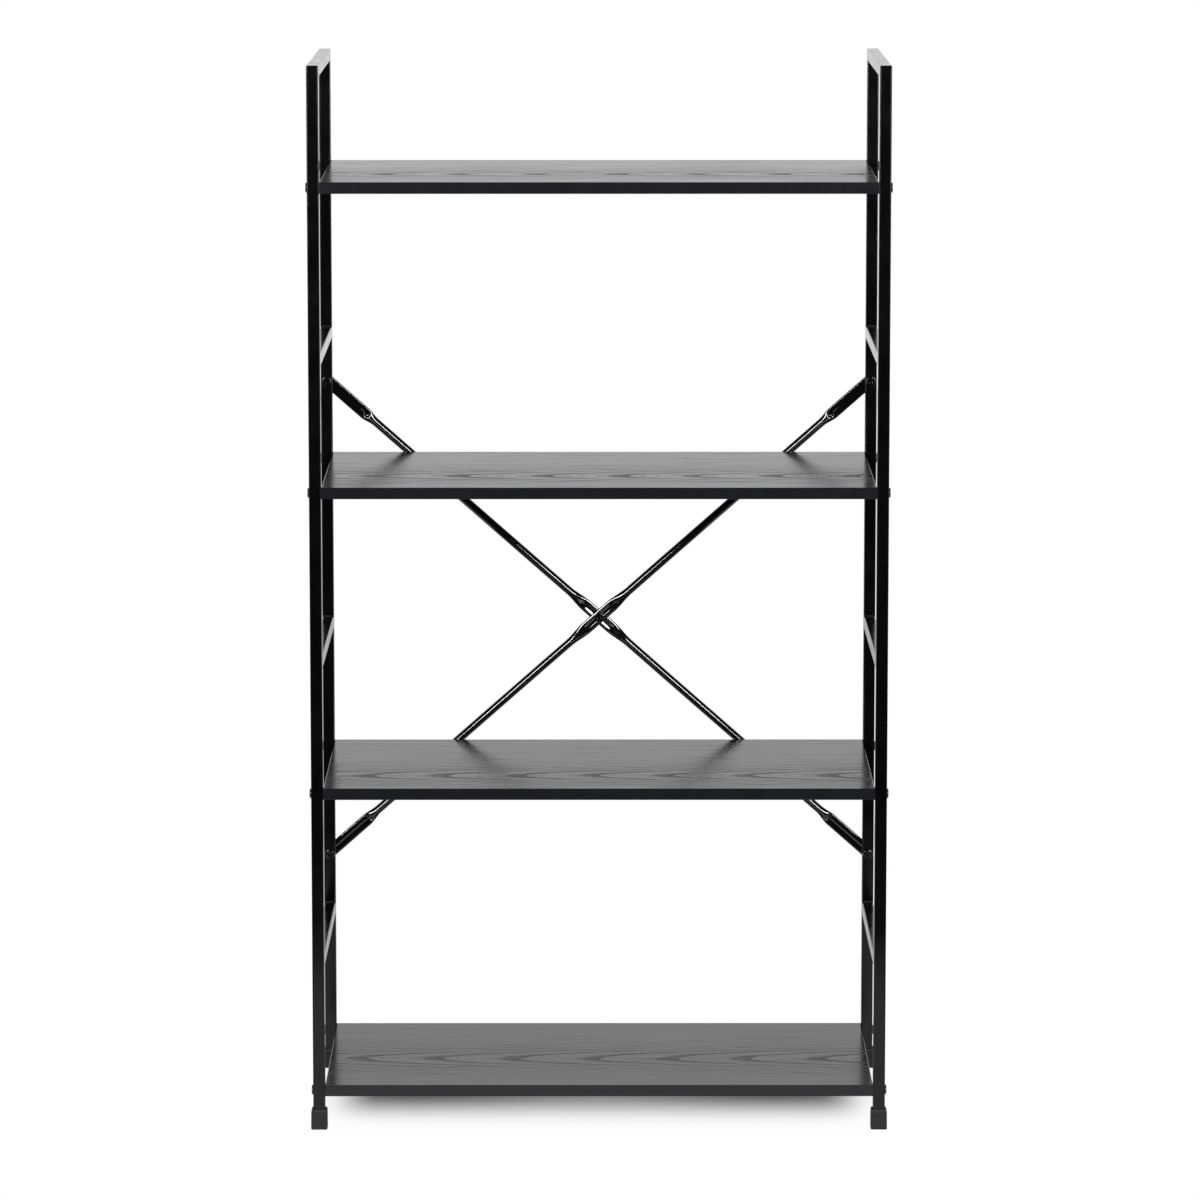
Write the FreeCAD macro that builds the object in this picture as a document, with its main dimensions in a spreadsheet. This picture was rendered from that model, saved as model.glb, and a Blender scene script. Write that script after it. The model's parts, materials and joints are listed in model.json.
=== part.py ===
# A free-standing bookshelf: two welded frames of square tube, four boards bolted between them,
# and a pair of round tubes, pressed flat where they are bolted, crossing behind the rear legs.
# Millimetres, +Z up, front towards -Y, origin on the floor at the middle of the outer box.
import FreeCAD
import Part
import Sketcher
import math
import os

doc = FreeCAD.newDocument("Bookshelf")
sheet = doc.addObject("Spreadsheet::Sheet", "Dims")

dims = {
    # End frames
    "frame_width": 600,  # over the legs' outer faces
    "frame_depth": 300,  # over the front and rear legs
    "frame_height": 1115,  # floor to the top of the top rail
    "tube_side": 12.5,
    "tube_wall": 1.0,
    "tube_corner": 1.3,  # outer radius of the tube's long edges
    "rung_drop": 185,  # rung's centreline below the shelf face above it
    "weld_leg": 1.6,
    # Feet
    "foot_height": 21.5,
    "foot_sole": 3.0,
    "foot_rim_wall": 1.4,
    "foot_base_wall": 2.4,
    "foot_corner": 1.2,  # chamfer of the upright edges
    "foot_round": 1.2,  # radius under the foot
    "foot_fit": 0.1,
    # Shelves
    "shelf_thickness": 12,
    "shelf_first": 47.5,  # floor to the bottom shelf's top face
    "guard_height": 119.5,  # frame above the top shelf's top face
    "shelf_setback": 0.6,  # board edge behind the legs' faces, front and back
    "band_thickness": 0.8,
    # Fasteners
    "head_dia": 10.4,
    "head_height": 2.2,
    "socket_across": 4.0,
    "socket_depth": 1.3,
    "nut_across": 10.0,
    "nut_height": 5.0,
    # Braces
    "brace_dia": 9.0,
    "brace_flat_width": 13.4,
    "brace_flat_thickness": 3.0,
    "brace_end_flat": 46,  # bolt to the start of the round stretch's swell
    "brace_mid_flat": 23,  # crossing to the same
    "brace_blend": 18,
    "brace_facet": 2.4,  # width of the flat where it dies out on the round tube
    "brace_low_drop": 125,  # lower bolts below the lower shelf's top face
    "brace_high_rise": 78,  # upper bolts above the upper shelf's top face
    "dish_depth": 0.9,
    "dish_width": 9.4,
    "dish_end_reach": 58,
    "dish_mid_reach": 29,
}
for number, (alias, figure) in enumerate(dims.items(), start=1):
    sheet.set("A%d" % number, alias.replace("_", " "))
    sheet.set("B%d" % number, str(figure))
    sheet.setAlias("B%d" % number, alias)
doc.recompute()


class Size:
    # A length with its number and the sheet expression that gives it
    def __init__(self, value, text):
        self.value = value
        self.text = text

    def __add__(self, other):
        other = asSize(other)
        return Size(self.value + other.value, "(%s + %s)" % (self.text, other.text))

    def __sub__(self, other):
        other = asSize(other)
        return Size(self.value - other.value, "(%s - %s)" % (self.text, other.text))

    def __mul__(self, other):
        other = asSize(other)
        return Size(self.value * other.value, "(%s * %s)" % (self.text, other.text))

    def __truediv__(self, other):
        other = asSize(other)
        return Size(self.value / other.value, "(%s / %s)" % (self.text, other.text))

    def __neg__(self):
        return Size(-self.value, "(0 - %s)" % self.text)


def asSize(item):
    return item if isinstance(item, Size) else Size(float(item), repr(item))


def dim(alias):
    return Size(float(sheet.get(alias)), "Dims." + alias)


zero = Size(0.0, "0")

# Places that several pieces share
tube = dim("tube_side")
width = dim("frame_width")
depth = dim("frame_depth")
height = dim("frame_height")
board = dim("shelf_thickness")
flat = dim("brace_flat_thickness")
braceRadius = dim("brace_dia") / 2
legX = (width - tube) / 2
innerX = width / 2 - tube
legSpread = (depth - tube) / 2
frontReach = dim("foot_base_wall")
backReach = braceRadius + flat + dim("nut_height")
middleY = (frontReach - backReach) / 2
backFace = middleY + depth / 2
shelfNames = ["bottom", "lower", "upper", "top"]
pitch = (height - dim("shelf_first") - dim("guard_height")) / (len(shelfNames) - 1)
shelfTops = [dim("shelf_first") + pitch * level for level in range(len(shelfNames))]
braceLow = shelfTops[1] - dim("brace_low_drop")
braceHigh = shelfTops[2] + dim("brace_high_rise")

nodes = []


def node(item, label):
    item.Label = label
    nodes.append(item)
    return item


def place(item, x, y, z):
    for axis, where in (("x", x), ("y", y), ("z", z)):
        item.setExpression("Placement.Base." + axis, where.text)


def newBody(label):
    body = doc.addObject("PartDesign::Body", label)
    body.Label = label
    return body


def originItem(body, role):
    return [item for item in body.Origin.OriginFeatures if item.Role == role][0]


def sketchOn(body, name, role, lift=zero):
    sketch = body.newObject("Sketcher::SketchObject", name)
    sketch.AttachmentSupport = [(originItem(body, role), "")]
    sketch.MapMode = "FlatFace"
    sketch.setExpression("AttachmentOffset.Base.z", lift.text)
    return sketch


def pin(sketch, geometry, point, x=None, y=None):
    for kind, where in (("DistanceX", x), ("DistanceY", y)):
        if where is not None:
            rule = Sketcher.Constraint(kind, -1, 1, geometry, point, where.value)
            sketch.setExpression("Constraints[%d]" % sketch.addConstraint(rule), where.text)


def vector(x, y):
    return FreeCAD.Vector(x.value, y.value, 0)


def outline(sketch, corners, arcs=None):
    # Closed outline through pinned corners. arcs gives, for the edge that leaves a corner,
    # the arc's centre, which of its coordinates is pinned, and True where it runs clockwise.
    arcs = arcs or {}
    first = sketch.GeometryCount
    count = len(corners)
    ends = []
    for index in range(count):
        start = vector(*corners[index])
        stop = vector(*corners[(index + 1) % count])
        if index not in arcs:
            sketch.addGeometry(Part.LineSegment(start, stop), False)
            ends.append((1, 2))
            continue
        centreX, centreY, pinned, clockwise = arcs[index]
        centre = vector(centreX, centreY)
        begin, finish = (stop, start) if clockwise else (start, stop)
        angles = [math.atan2(spot.y - centre.y, spot.x - centre.x) for spot in (begin, finish)]
        if angles[1] < angles[0]:
            angles[1] += 2 * math.pi
        ring = Part.Circle(centre, FreeCAD.Vector(0, 0, 1), (start - centre).Length)
        sketch.addGeometry(Part.ArcOfCircle(ring, *angles), False)
        ends.append((2, 1) if clockwise else (1, 2))
    for index in range(count):
        following = (index + 1) % count
        rule = Sketcher.Constraint(
            "Coincident", first + index, ends[index][1], first + following, ends[following][0]
        )
        sketch.addConstraint(rule)
    for index, (x, y) in enumerate(corners):
        pin(sketch, first + index, ends[index][0], x, y)
    for index, (centreX, centreY, pinned, clockwise) in arcs.items():
        pin(
            sketch,
            first + index,
            3,
            centreX if pinned == "x" else None,
            centreY if pinned == "y" else None,
        )


def rectangle(sketch, halfX, halfY):
    outline(sketch, [(-halfX, -halfY), (halfX, -halfY), (halfX, halfY), (-halfX, halfY)])


def circle(sketch, x, y, radius):
    ring = Part.Circle(vector(x, y), FreeCAD.Vector(0, 0, 1), radius.value)
    geometry = sketch.addGeometry(ring, False)
    pin(sketch, geometry, 3, x, y)
    rule = Sketcher.Constraint("Radius", geometry, radius.value)
    sketch.setExpression("Constraints[%d]" % sketch.addConstraint(rule), radius.text)


def hexagon(sketch, across):
    # Flats face up and down
    corner = across / math.sqrt(3)
    half = across / 2
    outline(
        sketch,
        [
            (corner, zero),
            (corner / 2, half),
            (-corner / 2, half),
            (-corner, zero),
            (-corner / 2, -half),
            (corner / 2, -half),
        ],
    )


def pad(body, sketch, length, side="One side", backwards=False):
    item = body.newObject("PartDesign::Pad", "Pad")
    item.Profile = sketch
    item.SideType = side
    item.Reversed = backwards
    item.setExpression("Length", length.text)
    doc.recompute()
    return item


def checkCut(item):
    doc.recompute()
    if not 0 < item.Shape.Volume < item.BaseFeature.Shape.Volume:
        raise RuntimeError("nothing cut by " + item.Label)
    return item


def pocket(body, sketch, length, backwards=False):
    item = body.newObject("PartDesign::Pocket", "Pocket")
    item.Profile = sketch
    item.Reversed = backwards
    item.setExpression("Length", length.text)
    return checkCut(item)


def pocketThrough(body, sketch):
    item = body.newObject("PartDesign::Pocket", "Pocket")
    item.Profile = sketch
    item.Type = "ThroughAll"
    item.SideType = "Symmetric"
    return checkCut(item)


def facesWhere(item, wanted):
    faces = item.Shape.Faces
    return ["Face%d" % (index + 1) for index in range(len(faces)) if wanted(faces[index].normalAt(0, 0))]


def softenEdges(body, base, kind, size, wanted):
    # Fillet or chamfer along the edges that are wanted
    edges = base.Shape.Edges
    names = ["Edge%d" % (index + 1) for index in range(len(edges)) if wanted(edges[index])]
    item = body.newObject("PartDesign::" + kind, kind)
    item.Base = (base, names)
    item.setExpression({"Fillet": "Radius", "Chamfer": "Size"}[kind], size.text)
    doc.recompute()
    return item


def mirrorX(body, features):
    item = body.newObject("PartDesign::Mirrored", "Mirrored")
    item.Originals = features
    item.MirrorPlane = (originItem(body, "YZ_Plane"), [""])
    body.Tip = item
    doc.recompute()
    return item


def direction(edge):
    return (edge.Vertexes[-1].Point - edge.Vertexes[0].Point).normalize()


def squareTube(label, plane, axis, length, side):
    # Outer square with rounded long edges, bored square
    body = newBody(label)
    outer = sketchOn(body, "Outer", plane)
    rectangle(outer, tube / 2, tube / 2)
    solid = pad(body, outer, length, side)
    softenEdges(
        body, solid, "Fillet", dim("tube_corner"), lambda edge: abs(direction(edge).dot(axis)) > 0.9
    )
    bore = sketchOn(body, "Bore", plane)
    rectangle(bore, tube / 2 - dim("tube_wall"), tube / 2 - dim("tube_wall"))
    pocketThrough(body, bore)
    return body


def leg(label, sideSign, depthSign):
    length = height - dim("foot_sole")
    body = squareTube(label, "XY_Plane", FreeCAD.Vector(0, 0, 1), length, "One side")
    # Mitre at the top, down towards the inside of the frame
    outside = (tube / 2) * depthSign
    mitre = sketchOn(body, "Mitre", "YZ_Plane")
    outline(mitre, [(outside, length), (-outside, length), (-outside, length - tube)])
    pocketThrough(body, mitre)
    place(body, legX * sideSign, middleY + legSpread * depthSign, dim("foot_sole"))
    return node(body, label)


def crossTube(label, sideSign, length, level):
    body = squareTube(label, "XZ_Plane", FreeCAD.Vector(0, 1, 0), length, "Symmetric")
    place(body, legX * sideSign, middleY, level)
    return node(body, label)


def topRail(label, sideSign):
    body = crossTube(label, sideSign, depth, height - tube / 2)
    mitre = sketchOn(body, "Mitres", "YZ_Plane")
    for end in (-1, 1):
        tip = (depth / 2) * end
        outline(mitre, [(tip, tube / 2), (tip, -tube / 2), (tip - tube * end, -tube / 2)])
    pocketThrough(body, mitre)


def foot(label, sideSign, depthSign):
    # Tapered push-on ferrule with a closed sole
    body = newBody(label)
    base = sketchOn(body, "Base", "XY_Plane")
    baseHalf = tube / 2 + dim("foot_base_wall")
    rectangle(base, baseHalf, baseHalf)
    block = pad(body, base, dim("foot_height"))
    taper = body.newObject("PartDesign::Draft", "Taper")
    taper.Base = (block, facesWhere(block, lambda normal: abs(normal.z) < 0.5))
    taper.NeutralPlane = (block, facesWhere(block, lambda normal: normal.z < -0.5))
    lean = (dim("foot_base_wall") - dim("foot_rim_wall")) / dim("foot_height")
    taper.setExpression("Angle", "atan(%s)" % lean.text)
    doc.recompute()
    middle = dim("foot_height").value / 2
    upright = softenEdges(
        body, taper, "Chamfer", dim("foot_corner"), lambda edge: edge.BoundBox.ZLength > middle
    )
    softenEdges(body, upright, "Fillet", dim("foot_round"), lambda edge: edge.BoundBox.ZMax < middle)
    socket = sketchOn(body, "Socket", "XY_Plane", dim("foot_height"))
    socketHalf = tube / 2 + dim("foot_fit")
    rectangle(socket, socketHalf, socketHalf)
    pocket(body, socket, dim("foot_height") - dim("foot_sole"))
    place(body, legX * sideSign, middleY + legSpread * depthSign, zero)
    return node(body, label)


def group(label, masters):
    # Copies of a master, each at its own place and turn about Z, kept as separate solids
    links = []
    for master, spot, turn in masters:
        link = doc.addObject("App::Link", label + "_piece")
        link.LinkedObject = master
        link.Placement = FreeCAD.Placement(
            FreeCAD.Vector(0, 0, 0), FreeCAD.Rotation(FreeCAD.Vector(0, 0, 1), turn)
        )
        place(link, *spot)
        links.append(link)
    item = doc.addObject("Part::Compound", label)
    item.Links = links
    return node(item, label)


def weldBead():
    # Fillet bead in the corner between a rung and a leg, along X
    body = newBody("weld_bead")
    profile = sketchOn(body, "Profile", "YZ_Plane")
    outline(profile, [(zero, zero), (dim("weld_leg"), zero), (zero, dim("weld_leg"))])
    pad(body, profile, tube - dim("tube_corner") * 2, "Symmetric")
    return body


def weldBeadUnder():
    body = newBody("weld_bead_under")
    profile = sketchOn(body, "Profile", "YZ_Plane")
    outline(profile, [(zero, zero), (zero, -dim("weld_leg")), (dim("weld_leg"), zero)])
    pad(body, profile, tube - dim("tube_corner") * 2, "Symmetric")
    return body


def boltHead(label):
    # Low domed head with a hex socket, axis along X with the head's seat at X = 0
    body = newBody(label)
    radius = dim("head_dia") / 2
    crown = dim("head_height")
    domeRadius = (radius * radius + crown * crown) / (crown * 2)
    profile = sketchOn(body, "Profile", "XY_Plane")
    outline(
        profile,
        [(-crown, zero), (zero, zero), (zero, radius)],
        {2: (domeRadius - crown, zero, "y", False)},
    )
    turned = body.newObject("PartDesign::Revolution", "Turned")
    turned.Profile = profile
    turned.ReferenceAxis = (profile, ["H_Axis"])
    turned.Angle = 360
    doc.recompute()
    socket = sketchOn(body, "Socket", "YZ_Plane", -crown)
    hexagon(socket, dim("socket_across"))
    pocket(body, socket, dim("socket_depth"), backwards=True)
    return body


def hexNut(label):
    # Axis along +Y, seat at Y = 0
    body = newBody(label)
    profile = sketchOn(body, "Profile", "XZ_Plane")
    hexagon(profile, dim("nut_across"))
    pad(body, profile, dim("nut_height"), backwards=True)
    return body


boardHalfY = depth / 2 - dim("shelf_setback") - dim("band_thickness")


def slab(label, sizeY, startY, top):
    # Flat strip or board between the legs' inner faces, below the given height
    item = doc.addObject("Part::Box", label)
    for side, length in (("Length", innerX * 2), ("Width", sizeY), ("Height", board)):
        item.setExpression(side, length.text)
    place(item, -innerX, startY, top - board)
    return item


def shelf(name, top):
    # Core board, with strips glued along its front and back edges
    thick = dim("band_thickness")
    node(slab(name + "_shelf", boardHalfY * 2, middleY - boardHalfY, top), name + "_shelf")
    bands = doc.addObject("Part::Compound", name + "_shelf_edge_bands")
    bands.Links = [
        slab(name + "_front_band", thick, middleY - boardHalfY - thick, top),
        slab(name + "_back_band", thick, middleY + boardHalfY, top),
    ]
    node(bands, name + "_shelf_edge_bands")


# Brace sizes, along the tube from the crossing
span = width - tube
rise = braceHigh - braceLow
boltReach = Size(
    math.hypot(span.value, rise.value) / 2, "(sqrt(%s ^ 2 + %s ^ 2) / 2)" % (span.text, rise.text)
)
braceAngle = "atan2(%s; %s)" % (rise.text, span.text)
flatWidth = dim("brace_flat_width")
blend = dim("brace_blend")
midFlat = dim("brace_mid_flat")
endFlatStart = boltReach - dim("brace_end_flat")
endCentre = flat / 2 - braceRadius


def pressedSection(body, name, where, centre):
    # Flattened tube: two flats and two folded edges
    sketch = sketchOn(body, name, "YZ_Plane", where)
    near = centre - flat / 2
    far = centre + flat / 2
    fold = (flatWidth - flat) / 2
    outline(
        sketch,
        [(far, -fold), (far, fold), (near, fold), (near, -fold)],
        {1: (centre, fold, "y", False), 3: (centre, -fold, "y", False)},
    )
    return sketch


def roundSection(body, name, where):
    # The tube's circle in four arcs: short ones where the flats die out, long ones for the folds
    sketch = sketchOn(body, name, "YZ_Plane", where)
    facet = dim("brace_facet") / 2
    reach = Size(
        math.sqrt(braceRadius.value**2 - facet.value**2),
        "sqrt(%s ^ 2 - %s ^ 2)" % (braceRadius.text, facet.text),
    )
    outline(
        sketch,
        [(reach, -facet), (reach, facet), (-reach, facet), (-reach, -facet)],
        {
            0: (zero, zero, "x", False),
            1: (zero, zero, "y", False),
            2: (zero, zero, "x", False),
            3: (zero, zero, "y", False),
        },
    )
    return sketch


def swell(body, name, startSketch, stopSketch):
    loft = body.newObject("PartDesign::AdditiveLoft", name)
    loft.Profile = startSketch
    loft.Sections = [stopSketch]
    loft.Ruled = True
    doc.recompute()
    return loft


def dish(body, name, face, start, stop):
    # Shallow imprint of the press, with round ends, open towards the front
    half = dim("dish_width") / 2
    floor = face + dim("dish_depth")
    sketch = sketchOn(body, name, "XZ_Plane", -floor)
    outline(
        sketch,
        [(start, -half), (stop, -half), (stop, half), (start, half)],
        {1: (stop, zero, "x", False), 3: (start, zero, "x", False)},
    )
    return pocket(body, sketch, dim("brace_dia"), backwards=True)


def brace(label, lean, midCentre):
    # Half of the brace is drawn along +X from the crossing and mirrored to the other end
    body = newBody(label)
    middle = pad(body, pressedSection(body, "Middle", zero, midCentre), midFlat)
    halves = [middle]
    halves.append(
        swell(
            body,
            "MiddleSwell",
            pressedSection(body, "MiddleEdge", midFlat, midCentre),
            roundSection(body, "TubeStart", midFlat + blend),
        )
    )
    stretch = roundSection(body, "Tube", midFlat + blend)
    halves.append(pad(body, stretch, endFlatStart - blend - midFlat - blend))
    halves.append(
        swell(
            body,
            "EndSwell",
            roundSection(body, "TubeStop", endFlatStart - blend),
            pressedSection(body, "EndEdge", endFlatStart, endCentre),
        )
    )
    endFlat = pressedSection(body, "End", endFlatStart, endCentre)
    halves.append(pad(body, endFlat, dim("brace_end_flat") + flatWidth / 2))
    mirrorX(body, halves)
    # Round tips and press imprints
    cuts = []
    tip = sketchOn(body, "Tip", "XZ_Plane")
    outline(
        tip,
        [
            (boltReach, -flatWidth / 2),
            (boltReach, -flatWidth),
            (boltReach + flatWidth, -flatWidth),
            (boltReach + flatWidth, flatWidth),
            (boltReach, flatWidth),
            (boltReach, flatWidth / 2),
        ],
        {5: (boltReach, zero, "x", True)},
    )
    cuts.append(pocketThrough(body, tip))
    endDish = boltReach - dim("dish_end_reach") + dim("dish_width") / 2
    cuts.append(dish(body, "EndDish", endCentre - flat / 2, endDish, boltReach + flatWidth))
    mirrorX(body, cuts)
    midDish = dim("dish_mid_reach") - dim("dish_width") / 2
    body.Tip = dish(body, "MiddleDish", midCentre - flat / 2, -midDish, midDish)
    body.Placement.Rotation = FreeCAD.Rotation(FreeCAD.Vector(0, -lean, 0), 45)
    body.setExpression("Placement.Rotation.Angle", braceAngle)
    place(body, zero, backFace + braceRadius, (braceLow + braceHigh) / 2)
    return node(body, label)


# End frames and feet
sides = (("left", -1), ("right", 1))
rungs = list(zip(("lower", "middle", "upper"), [top - dim("rung_drop") for top in shelfTops[1:]]))
beadOver = weldBead()
beadUnder = weldBeadUnder()
for side, sign in sides:
    for row, depthSign in (("front", -1), ("rear", 1)):
        leg("%s_%s_leg" % (side, row), sign, depthSign)
        foot("%s_%s_foot" % (side, row), sign, depthSign)
    topRail(side + "_top_rail", sign)
    beads = []
    for level, centre in rungs:
        crossTube("%s_%s_rung" % (side, level), sign, depth - tube * 2, centre)
        for end, turn in ((-1, 0), (1, 180)):
            seat = middleY + (depth / 2 - tube) * end
            beads.append((beadOver, (legX * sign, seat, centre + tube / 2), turn))
            beads.append((beadUnder, (legX * sign, seat, centre - tube / 2), turn))
    group(side + "_frame_welds", beads)

# Shelves, and the heads of the bolts that hold them, on the legs' outer faces
head = boltHead("bolt_head")
for name, top in zip(shelfNames, shelfTops):
    shelf(name, top)
    bolts = []
    for sign, turn in ((-1, 0), (1, 180)):
        for depthSign in (-1, 1):
            spot = ((width / 2) * sign, middleY + legSpread * depthSign, top - board / 2)
            bolts.append((head, spot, turn))
    group(name + "_shelf_bolts", bolts)

# Braces, bolted behind the rear legs and to each other where they cross
brace("front_brace", 1, -flat / 2)
brace("rear_brace", -1, flat / 2)
nut = hexNut("hex_nut")
corners = [(legX * sign, level) for sign in (-1, 1) for level in (braceLow, braceHigh)]
axisY = backFace + braceRadius
crossZ = (braceLow + braceHigh) / 2
bolts = [(head, (x, backFace - tube, z), 90) for x, z in corners]
bolts.append((head, (zero, axisY - flat, crossZ), 90))
group("brace_bolts", bolts)
nuts = [(nut, (x, backFace + flat, z), 0) for x, z in corners]
nuts.append((nut, (zero, axisY + flat, crossZ), 0))
group("brace_nuts", nuts)

doc.recompute()
failed = [item.Label for item in doc.Objects if "Invalid" in item.State or "Error" in item.State]
if failed:
    raise RuntimeError("not built: " + ", ".join(failed))
for item in nodes:
    if item.Shape.isNull() or not item.Shape.isValid() or not item.Shape.Solids:
        raise RuntimeError("bad shape: " + item.Label)
os.makedirs("parts", exist_ok=True)
for item in nodes:
    item.Shape.exportStep("parts/%s.step" % item.Label)
print("%d sub-parts, %d solids" % (len(nodes), sum(len(item.Shape.Solids) for item in nodes)))
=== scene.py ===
import bpy
import json
import math
from mathutils import Matrix, Vector


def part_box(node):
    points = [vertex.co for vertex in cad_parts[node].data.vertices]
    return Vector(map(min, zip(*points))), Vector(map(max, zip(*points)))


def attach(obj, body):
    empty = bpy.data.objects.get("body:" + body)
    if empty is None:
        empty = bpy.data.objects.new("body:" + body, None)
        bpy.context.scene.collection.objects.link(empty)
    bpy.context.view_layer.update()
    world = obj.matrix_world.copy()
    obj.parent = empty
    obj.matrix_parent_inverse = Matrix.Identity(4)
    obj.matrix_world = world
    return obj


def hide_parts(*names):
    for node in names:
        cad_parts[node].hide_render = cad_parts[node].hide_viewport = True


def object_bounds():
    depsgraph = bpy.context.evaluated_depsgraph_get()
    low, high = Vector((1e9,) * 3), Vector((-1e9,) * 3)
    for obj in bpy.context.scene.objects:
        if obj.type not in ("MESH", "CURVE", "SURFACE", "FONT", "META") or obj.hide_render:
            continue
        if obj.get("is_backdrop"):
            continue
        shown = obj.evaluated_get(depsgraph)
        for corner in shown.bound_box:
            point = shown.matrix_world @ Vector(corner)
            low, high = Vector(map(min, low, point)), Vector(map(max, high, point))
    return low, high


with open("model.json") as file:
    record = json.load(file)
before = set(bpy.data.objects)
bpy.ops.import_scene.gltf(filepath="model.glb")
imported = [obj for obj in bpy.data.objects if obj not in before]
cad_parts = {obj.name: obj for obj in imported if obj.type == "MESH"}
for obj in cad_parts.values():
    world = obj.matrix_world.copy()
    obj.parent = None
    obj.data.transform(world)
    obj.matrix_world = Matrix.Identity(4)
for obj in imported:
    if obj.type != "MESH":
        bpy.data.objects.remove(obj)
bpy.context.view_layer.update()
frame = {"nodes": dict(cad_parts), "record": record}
scene = bpy.context.scene
scene.view_settings.view_transform = "Standard"
sides = {"left": -1, "right": 1}
rows = ("front", "rear")
shelfNames = ("bottom", "lower", "upper", "top")
faceOn = 0.9  # a normal with more than this along an axis faces that way
hexSides = 6
print("frame loaded:", len(frame["nodes"]), "nodes")


class Sock:
    # wraps an output socket, so that shader maths reads as plain expressions
    def __init__(self, tree, socket):
        self.tree = tree
        self.socket = socket

    def math(self, operation, *others):
        return build(self.tree, "ShaderNodeMath", {"operation": operation}, self, *others)

    def __add__(self, other):
        return self.math("ADD", other)

    def __radd__(self, other):
        return self.math("ADD", other)

    def __sub__(self, other):
        return self.math("SUBTRACT", other)

    def __rsub__(self, other):
        return build(self.tree, "ShaderNodeMath", {"operation": "SUBTRACT"}, other, self)

    def __mul__(self, other):
        return self.math("MULTIPLY", other)

    def __rmul__(self, other):
        return self.math("MULTIPLY", other)

    def __truediv__(self, other):
        return self.math("DIVIDE", other)

    def __rtruediv__(self, other):
        return build(self.tree, "ShaderNodeMath", {"operation": "DIVIDE"}, other, self)

    def between(self, low, high, start=0.0, stop=1.0):
        # smooth step from start at low to stop at high
        settings = {"interpolation_type": "SMOOTHSTEP", "clamp": True}
        return build(self.tree, "ShaderNodeMapRange", settings, self, low, high, start, stop)

    def ridge(self, foot, top, brink, end):
        # rises from foot to top and falls from brink to end
        return self.between(foot, top) * self.between(brink, end, 1.0, 0.0)

    def axis(self, letter):
        return build(self.tree, "ShaderNodeSeparateXYZ", None, self, out=letter)


def plug(tree, item, pairs):
    # gives each socket its value or its link
    for key, value in pairs:
        if isinstance(value, Sock):
            tree.links.new(value.socket, item.inputs[key])
        elif value is not None:
            item.inputs[key].default_value = value


def feed(tree, item, **sockets):
    plug(tree, item, [(key.replace("_", " "), value) for key, value in sockets.items()])


def build(tree, kind, settings=None, *values, out=0, **named):
    # one node: settings first, then its sockets in order or by name
    item = tree.nodes.new(kind)
    for key, value in (settings or {}).items():
        setattr(item, key, value)
    plug(tree, item, enumerate(values))
    feed(tree, item, **named)
    return Sock(tree, item.outputs[out])


def blendColor(tree, factor, first, second, way="MIX"):
    # a Mix node's colours are its inputs 6 and 7, and their mix is its output 2
    settings = {"data_type": "RGBA", "blend_type": way}
    skipped = [None] * 5
    return build(tree, "ShaderNodeMix", settings, factor, *skipped, first, second, out=2)


def rayKind(tree, kind):
    return build(tree, "ShaderNodeLightPath", out="Is " + kind + " Ray")


def newMaterial(name):
    material = bpy.data.materials.new(name)
    material.use_nodes = True
    tree = material.node_tree
    shader = tree.nodes["Principled BSDF"]
    return material, tree, shader


def grey(level, warm=0.0):
    return (level * (1 + warm), level, level * (1 - warm), 1.0)


def objectPlace(tree, offset=(0, 0, 0)):
    place = build(tree, "ShaderNodeTexCoord", out="Object")
    return build(tree, "ShaderNodeMapping", None, place, offset)


def clouds(tree, look):
    scale = look["cloudScale"]
    detail = look["cloudDetail"]
    return build(tree, "ShaderNodeTexNoise", None, Vector=objectPlace(tree), Scale=scale, Detail=detail)


def relieved(tree, look, height):
    strength = look["bump"]
    distance = look["bumpHeight"]
    return build(tree, "ShaderNodeBump", None, Strength=strength, Distance=distance, Height=height)


# Camera at the photograph's place, not rolled, looking a little down
view = {
    "place": (-0.0052, -6.3327, 1.4915),
    "focal": 6028.0,  # in pixels of the photograph
    "frame": 1200.0,
    "pitch": -0.1493,
    "yaw": 0.001,
    "sensor": 36.0,
    "far": 60.0,
}
lens = bpy.data.cameras.new("photoView")
lens.sensor_width = view["sensor"]
lens.lens = view["focal"] / view["frame"] * view["sensor"]
lens.clip_end = view["far"]
camera = bpy.data.objects.new("photoView", lens)
camera.location = view["place"]
camera.rotation_euler = (math.pi / 2 + view["pitch"], 0, -view["yaw"])
scene.collection.objects.link(camera)
scene.camera = camera

# World: white behind the object, pale walls at the sides and a pale lid, a dim room in front,
# and white wherever the camera looks
room = {
    "dim": 0.018,
    "white": (0.965, 0.985, 1.0, 1),
    "back": (0.7, 0.93),
    "climb": (0.04, 0.34),  # where the white behind sinks to its level high up
    "high": 0.62,
    "rear": (0.1, 0.4, 0.65, 0.8),  # walls between the sides and the back
    "sides": (0.75, 0.92),
    "band": (0.52, 0.66),  # where the walls end, up and down
    "wall": 0.9,
    "above": (0.72, 0.9),
    "lid": 0.55,
}
world = bpy.data.worlds.new("studioRoom")
world.use_nodes = True
scene.world = world
tree = world.node_tree
heading = build(tree, "ShaderNodeTexCoord", out="Generated")
facing = heading.axis("Y")
height = heading.axis("Z")
aside = heading.axis("X").math("ABSOLUTE")
behind = facing.between(*room["back"]) * height.between(*room["climb"], 1.0, room["high"])
walls = facing.ridge(*room["rear"]).math("MAXIMUM", aside.between(*room["sides"]))
walls = walls * height.math("ABSOLUTE").between(*room["band"], room["wall"], 0.0)
lid = height.between(*room["above"], 0.0, room["lid"])
pale = behind.math("MAXIMUM", walls).math("MAXIMUM", lid)
glow = blendColor(tree, pale, grey(room["dim"]), room["white"])
direct = rayKind(tree, "Camera").math("MAXIMUM", rayKind(tree, "Transmission"))
glow = blendColor(tree, direct, glow, grey(1.0))
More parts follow.
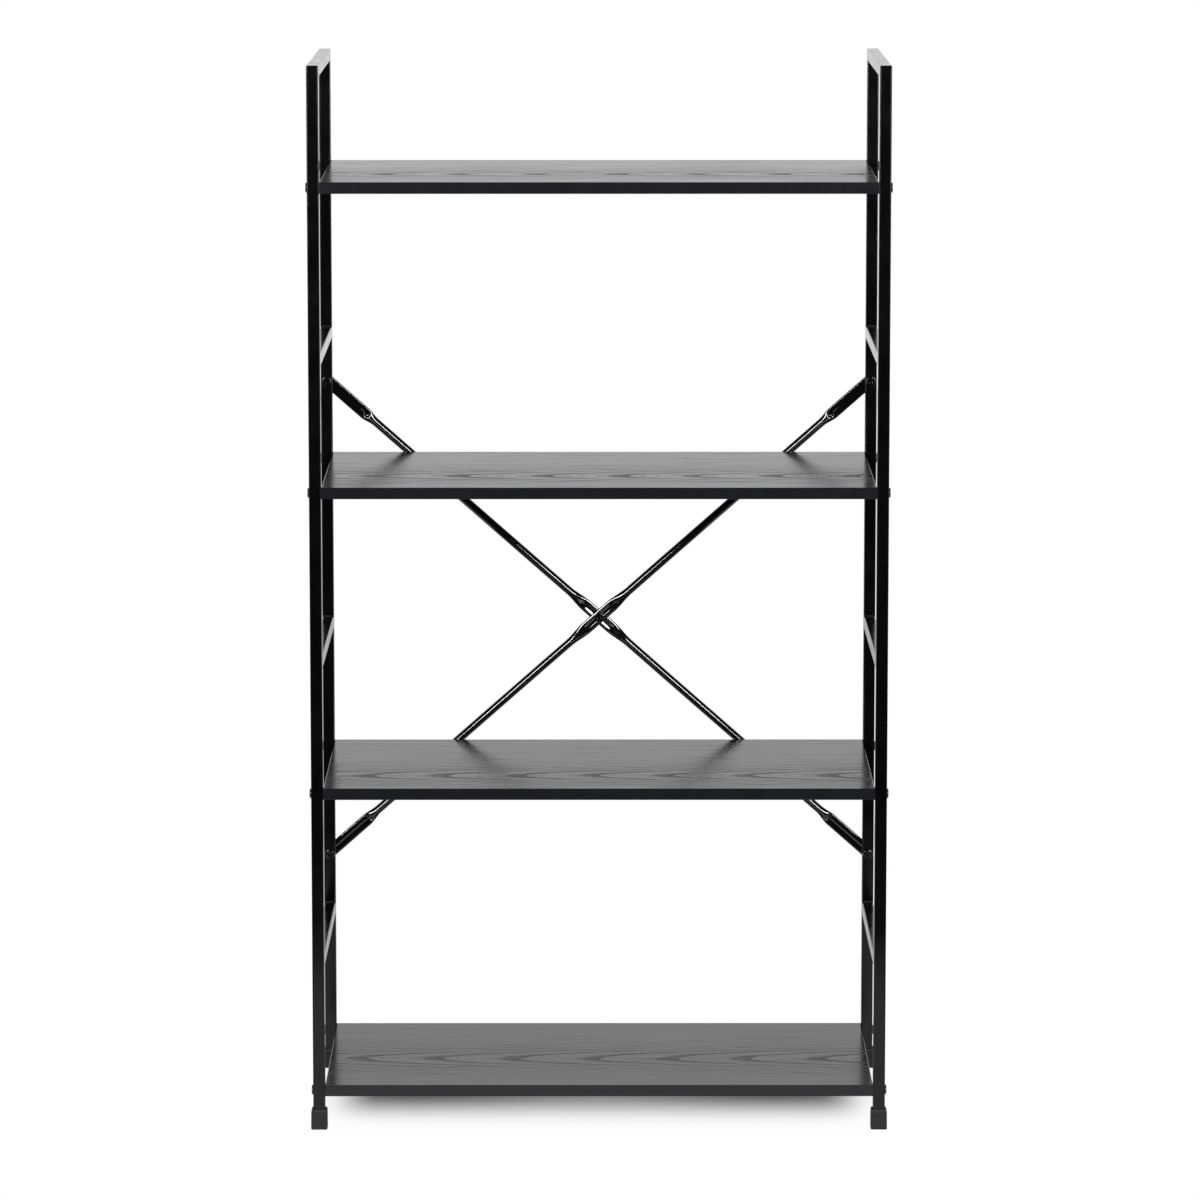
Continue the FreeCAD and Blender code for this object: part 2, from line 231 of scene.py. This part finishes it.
feed(tree, tree.nodes["Background"], Color=glow, Strength=1.0)

# Two long soft boxes in front, high on the left and right, each turned along the brace it lights
boxes = {
    "aim": (0, 0.149, 0.498),
    "distance": 3.2,
    "turn": 26.0,
    "rise": 15.8,
    "long": 1.4,
    "wide": 0.45,
    "watts": 56.0,
    "slope": (0.75, 0.66),
}
rise = math.radians(boxes["rise"])
run, climb = boxes["slope"]
for side, sign in sides.items():
    name = "softBox" + side.title()
    lamp = bpy.data.lights.new(name, "AREA")
    lamp.shape = "RECTANGLE"
    lamp.size = boxes["long"]
    lamp.size_y = boxes["wide"]
    lamp.energy = boxes["watts"]
    holder = bpy.data.objects.new(name, lamp)
    turn = math.radians(boxes["turn"]) * sign
    way = Vector((math.sin(turn) * math.cos(rise), -math.cos(turn) * math.cos(rise), math.sin(rise)))
    slope = Vector((-sign * run, 0, climb))
    along = (slope - way * slope.dot(way)).normalized()
    holder.location = Vector(boxes["aim"]) + way * boxes["distance"]
    holder.rotation_euler = Matrix((along, way.cross(along), way)).transposed().to_euler()
    scene.collection.objects.link(holder)
print("camera, room and lamps placed")

# Floor: white sheet that ends in the dim room, with a painted shadow under the object
sheet = {
    "width": 8.0,
    "front": -1.3,
    "back": 6.0,
    "fade": (-1.15, -0.82),
    "faded": 0.02,
    "rough": 0.9,
    "albedo": 0.8,
    "mirrored": 0.66,
    "cornerSides": (0.38, 0.52),
    "cornerFront": (-0.3, -0.12),
    "cornerDim": 0.85,
}
# painted shadow under the bottom shelf, shaped by place on the sheet: deeper inwards and towards the
# ends, kept only where the object covers the sky
shadow = {
    "reach": 0.34,
    "rays": 6,
    "cover": (0.1, 0.75),
    "front": (-0.139, 0.011),
    "back": (0.05, 0.19),
    "ends": (0.236, 0.325),
    "middle": 0.75,
    "side": 0.87,
    "sideAt": 0.21,
    "faint": 0.05,
    "faintFront": (-0.2, -0.137),
}
bpy.ops.object.select_all(action="DESELECT")
bpy.ops.mesh.primitive_plane_add(size=1, location=(0, (sheet["front"] + sheet["back"]) / 2, 0))
floor = bpy.context.object
floor.name = "floorSheet"
floor.scale = (sheet["width"], sheet["back"] - sheet["front"], 1)
bpy.ops.object.transform_apply(location=True, rotation=True, scale=True)
material, tree, shader = newMaterial("whiteSheet")
place = build(tree, "ShaderNodeTexCoord", out="Object")
depth = place.axis("Y")
across = place.axis("X").math("ABSOLUTE")
paper = depth.between(*sheet["fade"], sheet["faded"], 1.0)
tone = blendColor(tree, paper, grey(0.0), grey(sheet["albedo"]))
feed(tree, shader, Base_Color=tone, Roughness=sheet["rough"], Specular_IOR_Level=0.0)
rays = {"samples": shadow["rays"]}
openSky = build(tree, "ShaderNodeAmbientOcclusion", rays, grey(1.0), shadow["reach"], out="AO")
# painted shade: the shadow's darkness drawn by place on the sheet, then gated by the object's occlusion
dark = across.between(0.0, shadow["sideAt"], shadow["middle"], shadow["side"])
dark = dark * depth.between(*shadow["front"])
dark = dark + depth.between(*shadow["faintFront"]) * shadow["faint"]
dark = dark * depth.between(*shadow["back"], 1.0, 0.0)
dark = dark * across.between(*shadow["ends"], 1.0, 0.0)
shade = 1.0 - dark * openSky.between(*shadow["cover"], 1.0, 0.0)
# the dim room reaches round the front corners of the sheet, as mirrored in the object
corner = depth.between(*sheet["cornerFront"], sheet["cornerDim"], 0.0)
corner = corner * across.between(*sheet["cornerSides"])
mirroredTone = blendColor(tree, paper * (1.0 - corner), grey(0.0), grey(sheet["mirrored"]))
seen = rayKind(tree, "Camera")
dimmer = blendColor(tree, seen, mirroredTone, grey(1.0))
shine = build(tree, "ShaderNodeEmission", None, blendColor(tree, 1.0, shade, dimmer, "MULTIPLY"))
direct = seen.math("MAXIMUM", rayKind(tree, "Glossy")).math("MAXIMUM", rayKind(tree, "Transmission"))
swap = build(tree, "ShaderNodeMixShader", None, direct, Sock(tree, shader.outputs[0]), shine)
feed(tree, tree.nodes["Material Output"], Surface=swap)
floor.data.materials.append(material)
floor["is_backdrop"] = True
print("floor laid")

# Baked black paint, a little cloudy in gloss, the braces with a clear coat on top
paint = {
    "tone": 0.0013,
    "blue": 0.2,
    "spread": (0.7, 1.3),
    "cloudScale": 35.0,
    "cloudDetail": 4.0,
    "cloudRange": (0.2, 0.8),
    "patchy": (0.8, 1.3),
    "clearRough": 0.8,  # share of the paint's roughness
    "clearIor": 1.6,
    "frame": {"rough": 0.145, "ior": 1.48, "clear": 0.0},
    "brace": {"rough": 0.085, "ior": 1.55, "clear": 0.7},
}


def blackPaint(name, coat):
    material, tree, shader = newMaterial(name)
    cloud = clouds(tree, paint)
    dark, light = [grey(paint["tone"] * share, -paint["blue"]) for share in paint["spread"]]
    least, most = [coat["rough"] * share for share in paint["patchy"]]
    tone = blendColor(tree, cloud, dark, light)
    rough = cloud.between(*paint["cloudRange"], least, most)
    clearRough = coat["rough"] * paint["clearRough"]
    feed(tree, shader, Base_Color=tone, Roughness=rough, IOR=coat["ior"])
    feed(tree, shader, Coat_Weight=coat["clear"], Coat_Roughness=clearRough, Coat_IOR=paint["clearIor"])
    return material


# Black ash print: nested arches on one line, fine streaks elsewhere, pores that shine less
ash = {
    "boards": {  # each board's line of arches and its place along the print
        "bottom": (-0.029, 0.11),
        "lower": (-0.077, 0.43),
        "upper": (-0.059, 0.82),
        "top": (-0.05, 1.31),
    },
    "drift": {"stretch": (3.0, 9.0, 0.0), "detail": 3.0},
    "fibre": {"stretch": (8.0, 150.0, 0.0), "detail": 7.0, "rough": 0.62},
    "pores": {"stretch": (40.0, 1500.0, 0.0), "detail": 2.0},
    "wander": 0.02,
    "bend": 125.0,
    "soft": 0.16,  # past this the arches straighten
    "waver": 0.09,
    "fray": 0.02,
    "ring": 0.082,
    "late": (0.5, 0.96, 0.965, 1.0),
    "lateNear": (0.025, 0.12, 1.0, 0.3),
    "lateDark": 1.15,
    "fine": 5.0,  # thin lines to a ring
    "thin": (0.4, 0.94, 0.94, 1.0),
    "thinNear": (0.015, 0.07, 0.5, 0.0),
    "fibreRange": (0.42, 0.64),
    "fibreDark": 0.5,
    "light": (0.0082, 0.009, 0.0108, 1),
    "dark": (0.0034, 0.0038, 0.0046, 1),
    "rough": (0.0, 1.6, 0.185, 0.40),
    "ior": 1.37,
    "markDepth": 0.6,
    "bump": 0.04,
    "bumpHeight": 0.0003,
}


def streaks(tree, place, stretch, detail, rough=0.5):
    # noise drawn out along the board
    drawn = build(tree, "ShaderNodeMapping", None, place, Scale=stretch)
    pattern = {"Scale": 1.0, "Detail": detail, "Roughness": rough}
    return build(tree, "ShaderNodeTexNoise", None, drawn, **pattern)


def laminate(name, line, shift):
    material, tree, shader = newMaterial(name)
    place = objectPlace(tree, (shift, -line, 0))
    drift = streaks(tree, place, **ash["drift"])
    fibre = streaks(tree, place, **ash["fibre"])
    pores = streaks(tree, place, **ash["pores"])
    side = place.axis("Y").math("ABSOLUTE") + drift * ash["wander"] - ash["wander"] / 2
    arch = side * side * ash["bend"] / (side / ash["soft"] + 1.0)
    rings = (place.axis("X") - arch + drift * ash["waver"] + fibre * ash["fray"]) / ash["ring"]
    late = rings.math("FRACT").ridge(*ash["late"])
    thin = (rings * ash["fine"]).math("FRACT").ridge(*ash["thin"])
    mark = late * side.between(*ash["lateNear"]) * ash["lateDark"]
    mark = mark + thin * side.between(*ash["thinNear"])
    mark = mark + fibre.between(*ash["fibreRange"]) * ash["fibreDark"]
    tone = blendColor(tree, mark, ash["light"], ash["dark"])
    rough = mark.between(*ash["rough"])
    relief = relieved(tree, ash, pores - mark * ash["markDepth"])
    feed(tree, shader, Base_Color=tone, Roughness=rough, IOR=ash["ior"], Normal=relief)
    return material


# Plain black band on the edges of the boards
band = {
    "cloudScale": 60.0,
    "cloudDetail": 4.0,
    "dark": (0.0062, 0.0076, 0.0098, 1),
    "light": (0.0078, 0.0092, 0.0114, 1),
    "rough": (0.2, 0.8, 0.19, 0.23),
}


def edgeBand():
    material, tree, shader = newMaterial("edgeBand")
    cloud = clouds(tree, band)
    tone = blendColor(tree, cloud, band["dark"], band["light"])
    feed(tree, shader, Base_Color=tone, Roughness=cloud.between(*band["rough"]))
    return material


# Dull plastic of the feet, finely grained
plastic = {
    "cloudScale": 900.0,
    "cloudDetail": 3.0,
    "dark": grey(0.009),
    "light": grey(0.014),
    "rough": (0.2, 0.8, 0.42, 0.55),
    "ior": 1.4,
    "bump": 0.15,
    "bumpHeight": 0.0004,
}


def footPlastic():
    material, tree, shader = newMaterial("footPlastic")
    cloud = clouds(tree, plastic)
    tone = blendColor(tree, cloud, plastic["dark"], plastic["light"])
    rough = cloud.between(*plastic["rough"])
    relief = relieved(tree, plastic, cloud)
    feed(tree, shader, Base_Color=tone, Roughness=rough, IOR=plastic["ior"], Normal=relief)
    return material


finishes = {
    "frame_paint": blackPaint("blackPaint", paint["frame"]),
    "brace_paint": blackPaint("bracePaint", paint["brace"]),
    "edge_band": edgeBand(),
    "foot_plastic": footPlastic(),
}
finishes["fastener"] = finishes["brace_paint"]
for name, (line, shift) in ash["boards"].items():
    finishes[name + "_laminate"] = laminate(name + "AshLaminate", line, shift)
finishes["board_laminate"] = finishes["bottom_laminate"]
slotOf = {entry["node"]: entry["material_slot"] for entry in frame["record"]["subparts"]}
for name, item in frame["nodes"].items():
    item.data.materials.clear()
    item.data.materials.append(finishes[slotOf[name]])
print("finishes given to", len(slotOf), "nodes")


def selectOnly(item):
    bpy.ops.object.select_all(action="DESELECT")
    item.select_set(True)
    bpy.context.view_layer.objects.active = item


def applyPlace(item):
    selectOnly(item)
    bpy.ops.object.transform_apply(location=True, rotation=True, scale=True)


def modify(item, kind, **settings):
    # adds one modifier and applies it
    selectOnly(item)
    step = item.modifiers.new(kind.lower(), kind)
    for key, value in settings.items():
        setattr(step, key, value)
    bpy.ops.object.modifier_apply(modifier=step.name)


def softEdges(item, width, segments, angle=30.0):
    limit = math.radians(angle)
    modify(item, "BEVEL", width=width, segments=segments, limit_method="ANGLE", angle_limit=limit)


def smooth(item, angle):
    selectOnly(item)
    bpy.ops.object.shade_smooth_by_angle(angle=math.radians(angle))


def smoothFlat(item, angle=35.0):
    # smooth over eased edges, with the large faces kept flat
    smooth(item, angle)
    modify(item, "WEIGHTED_NORMAL", weight=100, keep_sharp=True)


def block(name, low, high):
    # box between two corners, place in its mesh
    bpy.ops.object.select_all(action="DESELECT")
    bpy.ops.mesh.primitive_cube_add(size=1, location=(Vector(low) + Vector(high)) / 2)
    item = bpy.context.object
    item.name = name
    item.scale = Vector(high) - Vector(low)
    applyPlace(item)
    return item


def cylinder(name, around, radius, length, level):
    # upright cylinder with its middle at a level, place in its mesh
    bpy.ops.object.select_all(action="DESELECT")
    place = (0, 0, level)
    bpy.ops.mesh.primitive_cylinder_add(vertices=around, radius=radius, depth=length, location=place)
    item = bpy.context.object
    item.name = name
    applyPlace(item)
    return item


def cut(item, cutter):
    modify(item, "BOOLEAN", operation="DIFFERENCE", object=cutter, solver="EXACT")
    bpy.data.objects.remove(cutter)


def pickFaces(item, wanted):
    # face selection by place or normal, left in edit mode
    selectOnly(item)
    bpy.ops.object.mode_set(mode="EDIT")
    bpy.ops.mesh.select_mode(type="FACE")
    bpy.ops.mesh.select_all(action="DESELECT")
    bpy.ops.object.mode_set(mode="OBJECT")
    for face in item.data.polygons:
        face.select = wanted(face)
    bpy.ops.object.mode_set(mode="EDIT")


def objectMode():
    bpy.ops.object.mode_set(mode="OBJECT")


def extrude(along):
    bpy.ops.mesh.extrude_region_move(TRANSFORM_OT_translate={"value": along})


def resizeAcross(ratio, centre):
    bpy.ops.transform.resize(value=(ratio, ratio, 1), center_override=centre)


def joined(pieces, name):
    selectOnly(pieces[0])
    for piece in pieces[1:]:
        piece.select_set(True)
    bpy.ops.object.join()
    pieces[0].name = name
    return pieces[0]


def standing(way, up, spot):
    # turns a fastener's +Z to a way and seats it on a spot
    matrix = Vector(way).to_track_quat("Z", up).to_matrix().to_4x4()
    matrix.translation = spot
    return matrix


def copies(master, name, places):
    # own mesh for every copy, all joined into one piece
    made = []
    for matrix in places:
        twin = master.copy()
        twin.data = master.data.copy()
        scene.collection.objects.link(twin)
        twin.matrix_world = matrix
        applyPlace(twin)
        made.append(twin)
    return joined(made, name)


def handOver(item, node, finishName=None):
    # gives the piece its finish, and puts it in place of a node
    slot = slotOf[node]
    item.data.materials.clear()
    item.data.materials.append(finishes[finishName or slot])
    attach(item, "root")
    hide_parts(node)


# Boards with eased ends, and their front and back strips
boardShape = {"endEase": 0.0009, "endSteps": 3, "stripEase": 0.00025, "stripSteps": 2}
for name in shelfNames:
    node = name + "_shelf"
    low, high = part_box(node)
    board = block(name + "Board", low, high)
    pickFaces(board, lambda face: abs(face.normal.x) > faceOn)
    bpy.ops.mesh.bevel(offset=boardShape["endEase"], segments=boardShape["endSteps"], affect="EDGES")
    objectMode()
    smoothFlat(board)
    handOver(board, node, name + "_laminate")
    stripLow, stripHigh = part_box(node + "_edge_bands")
    front = block(name + "Strips", stripLow, (stripHigh.x, low.y, stripHigh.z))
    back = block(name + "StripBack", (stripLow.x, high.y, stripLow.z), stripHigh)
    for strip in (front, back):
        softEdges(strip, boardShape["stripEase"], boardShape["stripSteps"])
    strips = joined((front, back), name + "Strips")
    smoothFlat(strips)
    handOver(strips, node + "_edge_bands")
print("boards and strips made")

# Feet: cups pushed over the legs, nearly straight, with a rounded rim
footShape = {
    "shoulder": 0.0168,
    "rim": 0.0151,
    "turn": 0.0042,
    "turnSteps": 4,
    "wall": 0.0012,
    "lip": 0.0035,
    "ease": 0.0012,
    "easeSteps": 3,
    "sharp": 50.0,
}
quarter = math.pi / 2 / footShape["turnSteps"]
for side in sides:
    for row in rows:
        node = side + "_" + row + "_foot"
        low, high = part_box(node)
        centre = ((low.x + high.x) / 2, (low.y + high.y) / 2, high.z)
        foot = block(side + row.title() + "Foot", low, (high.x, high.y, high.z - footShape["turn"]))
        pickFaces(foot, lambda face: face.normal.z > faceOn)
        width = footShape["shoulder"]
        resizeAcross(width / (high.x - low.x), centre)
        for step in range(1, footShape["turnSteps"] + 1):
            turn = quarter * step
            taken = (footShape["shoulder"] - footShape["rim"]) * (1 - math.cos(turn))
            narrower = footShape["shoulder"] - taken
            extrude((0, 0, footShape["turn"] * (math.sin(turn) - math.sin(turn - quarter))))
            resizeAcross(narrower / width, centre)
            width = narrower
        bpy.ops.mesh.inset(thickness=footShape["wall"])
        extrude((0, 0, -footShape["lip"]))
        objectMode()
        softEdges(foot, footShape["ease"], footShape["easeSteps"], footShape["sharp"])
        smoothFlat(foot)
        handOver(foot, node)
print("feet made")

# Bolt heads: flat discs with a rounded edge and a hex socket
headShape = {
    "radius": 0.0052,
    "height": 0.0016,
    "around": 48,
    "turn": 0.0009,
    "turnSteps": 5,
    "socket": 0.0023,
    "sink": 0.0011,
    "ease": 0.00015,
    "easeSteps": 2,
    "sharp": 40.0,
}
# the braces' tube and flats, which bolts and nuts sit on
brace = {"radius": 0.0045, "width": 0.0134, "thick": 0.003}


def boltHead():
    # seat in the XY plane, face towards +Z
    top = headShape["height"]
    head = cylinder("boltHead", headShape["around"], headShape["radius"], top, top / 2)
    pickFaces(head, lambda face: face.normal.z > faceOn)
    bpy.ops.mesh.bevel(offset=headShape["turn"], segments=headShape["turnSteps"], affect="EDGES")
    objectMode()
    cut(head, cylinder("socketCut", hexSides, headShape["socket"], headShape["sink"] * 2, top))
    softEdges(head, headShape["ease"], headShape["easeSteps"], headShape["sharp"])
    smoothFlat(head, headShape["sharp"])
    return head


head = boltHead()
headPlaces = {}
for name in shelfNames:
    node = name + "_shelf_bolts"
    low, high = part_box(node)
    headPlaces[node] = []
    for side, sign in sides.items():
        for row in rows:
            legLow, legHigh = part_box(side + "_" + row + "_leg")
            outside = legLow.x if sign < 0 else legHigh.x
            seat = (outside, (legLow.y + legHigh.y) / 2, (low.z + high.z) / 2)
            headPlaces[node].append(standing((sign, 0, 0), "Y", seat))
rearLow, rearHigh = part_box("left_rear_leg")
boltLow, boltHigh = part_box("brace_bolts")
braceLevels = (boltLow.z + headShape["radius"], boltHigh.z - headShape["radius"])
crossLevel = (boltLow.z + boltHigh.z) / 2
axisY = rearHigh.y + brace["radius"]
spots = []
for side in sides:
    legLow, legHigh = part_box(side + "_rear_leg")
    for level in braceLevels:
        spots.append(Vector(((legLow.x + legHigh.x) / 2, rearLow.y, level)))
spots.append(Vector((0, axisY - brace["thick"], crossLevel)))
headPlaces["brace_bolts"] = [standing((0, -1, 0), "X", spot) for spot in spots]
for node, places in headPlaces.items():
    first, *rest = node.split("_")
    handOver(copies(head, first + "".join(word.title() for word in rest), places), node)
bpy.data.objects.remove(head)
print("bolt heads made:", sum(len(places) for places in headPlaces.values()))

# Nuts behind the braces, with the bolt's end showing in each
nutShape = {
    "across": 0.010,
    "height": 0.005,
    "bore": 0.0031,
    "sink": 0.0008,
    "bolt": 0.0029,
    "boltSink": 0.7,  # share of the bore's depth
    "around": 36,
    "ease": 0.0004,
    "boltEase": 0.00024,
    "easeSteps": 2,
    "sharp": 40.0,
}


def hexNut():
    # seat in the XY plane, bolt's end towards +Z
    top = nutShape["height"]
    sink = nutShape["sink"]
    nut = cylinder("hexNut", hexSides, nutShape["across"] / math.sqrt(3), top, top / 2)
    cut(nut, cylinder("boreCut", nutShape["around"], nutShape["bore"], sink * 2, top))
    softEdges(nut, nutShape["ease"], nutShape["easeSteps"], nutShape["sharp"])
    boltLevel = top - sink * nutShape["boltSink"]
    stub = cylinder("boltEnd", nutShape["around"], nutShape["bolt"], sink, boltLevel)
    softEdges(stub, nutShape["boltEase"], nutShape["easeSteps"], nutShape["sharp"])
    joined((nut, stub), "hexNut")
    smoothFlat(nut)
    return nut


nut = hexNut()
places = []
for spot in spots:
    seatY = (rearHigh.y if spot.x else axisY) + brace["thick"]
    places.append(standing((0, 1, 0), "X", (spot.x, seatY, spot.z)))
handOver(copies(nut, "braceNuts", places), "brace_nuts")
bpy.data.objects.remove(nut)
print("nuts made:", len(places))

# Braces: round tube, pressed flat and dished at both ends and where the two cross
press = {
    "endFlat": 0.053,
    "endBlend": 0.018,
    "endHalf": 0.0016,
    "endDish": 0.0002,
    "endReach": 0.058,
    "endRun": 0.008,
    "midFlat": 0.017,
    "midBlend": 0.026,
    "midShift": 0.1,
    "midHalf": 0.0050,
    "midDish": {"front": 0.00118, "rear": 0.0014},
    "midReach": 0.034,
    "midRun": 0.022,
    "bowl": 0.0016,
    "bowlHalf": 0.0042,
    "bowlAt": 0.0575,
    "around": 128,
    "rings": (40, 8, 12, 44, 48),  # to each stretch between the middle and the bolt
    "tipRings": 9,
    "tipEnd": 0.996,
    "sharp": 50.0,
}
leans = {"front": 1, "rear": -1}
boltAcross = abs(spots[0].x)
boltRise = (braceLevels[1] - braceLevels[0]) / 2
boltAt = math.hypot(boltAcross, boltRise)
bowlAt = boltAt - press["bowlAt"]
tip = brace["width"] / 2
inner = press["midFlat"] + press["midBlend"]
outer = boltAt - press["endFlat"] - press["endBlend"]


def ease(value):
    value = min(max(value, 0.0), 1.0)
    return value * value * (3 - 2 * value)


def hump(offset):
    # rounded rise, 1 at the middle and 0 at an offset of 1
    return math.cos(math.pi / 2 * offset) ** 2


def ringPlaces():
    # places of the rings along one brace, both ways from its middle
    stops = (0.0, inner, outer, bowlAt - press["bowlHalf"], bowlAt + press["bowlHalf"], boltAt)
    rings = [boltAt, boltAt + tip * press["tipEnd"]]
    for start, stop, count in zip(stops, stops[1:], press["rings"]):
        rings += [start + (stop - start) * step / count for step in range(count)]
    for step in range(1, press["tipRings"]):
        rings.append(boltAt + tip * math.sin(math.pi / 2 * step / press["tipRings"]))
    return sorted(set([-ring for ring in rings] + rings))


def pressedOutline(turn, lens):
    # place on the pressed section for an angle on the round one: a lens in the middle,
    # or a flat with round edges, at the same share of the way round
    if lens:
        return -brace["thick"] / 2 * math.cos(turn), brace["width"] / 2 * math.sin(turn)
    fold = brace["thick"] / 2
    half = brace["width"] / 2 - fold
    way = abs(turn) / math.pi * (2 * half + math.pi * fold)
    sign = 1 if turn >= 0 else -1
    if way < half:
        return -fold, way * sign
    angle = (way - half) / fold
    if angle < math.pi:
        return -fold * math.cos(angle), (half + fold * math.sin(angle)) * sign
    return fold, (2 * half + math.pi * fold - way) * sign


def pressedPoint(along, turn, midCentre, midDish):
    # depth and place across for a point of the round tube
    middle = 1 - ease((along - press["midFlat"]) / press["midBlend"])
    end = ease((along - outer) / press["endBlend"])
    depth, across = pressedOutline(turn, middle > 0)
    if middle > 0:
        hollow = midDish * ease((press["midReach"] - along) / press["midRun"])
        half = press["midHalf"]
    else:
        hollow = press["endDish"] * ease((along - boltAt + press["endReach"]) / press["endRun"])
        half = press["endHalf"]
    facing = abs(turn) < math.pi / 2
    if facing and abs(across) < half:
        depth += hollow * hump(across / half)
    flat = max(middle, end)
    roundDepth = -brace["radius"] * math.cos(turn)
    roundAcross = brace["radius"] * math.sin(turn)
    depth = roundDepth + (depth - roundDepth) * flat
    across = roundAcross + (across - roundAcross) * flat
    fromBowl = math.hypot(along - bowlAt, across) / press["bowlHalf"]
    if facing and fromBowl < 1:
        depth += press["bowl"] * hump(fromBowl)
    # the middle steps past the other brace, and the ends lie against the legs
    depth += midCentre * (1 - ease(along / press["midShift"]))
    depth += (brace["thick"] / 2 - brace["radius"]) * end
    if along > boltAt:
        across *= math.sqrt(1 - ((along - boltAt) / tip) ** 2)
    return depth, across


def braceTube(name, lean, midDish):
    rings = ringPlaces()
    bpy.ops.object.select_all(action="DESELECT")
    bpy.ops.mesh.primitive_circle_add(
        vertices=press["around"],
        radius=brace["radius"],
        fill_type="NGON",
        location=(rings[0], 0, 0),
        rotation=(0, math.pi / 2, 0),
    )
    tube = bpy.context.object
    tube.name = name
    applyPlace(tube)
    bpy.ops.object.mode_set(mode="EDIT")
    bpy.ops.mesh.select_all(action="SELECT")
    for before, after in zip(rings, rings[1:]):
        extrude((after - before, 0, 0))
    bpy.ops.mesh.select_all(action="SELECT")
    bpy.ops.mesh.normals_make_consistent(inside=False)
    objectMode()
    midCentre = -lean * brace["thick"] / 2
    for point in tube.data.vertices:
        turn = math.atan2(point.co.z, -point.co.y)
        point.co.y, point.co.z = pressedPoint(abs(point.co.x), turn, midCentre, midDish)
    tube.rotation_euler = (0, -math.atan2(boltRise, boltAcross) * lean, 0)
    tube.location = (0, axisY, crossLevel)
    applyPlace(tube)
    smooth(tube, press["sharp"])
    return tube


for row in rows:
    tube = braceTube(row + "Brace", leans[row], press["midDish"][row])
    handOver(tube, row + "_brace", "brace_paint")
print("braces made")

low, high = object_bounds()
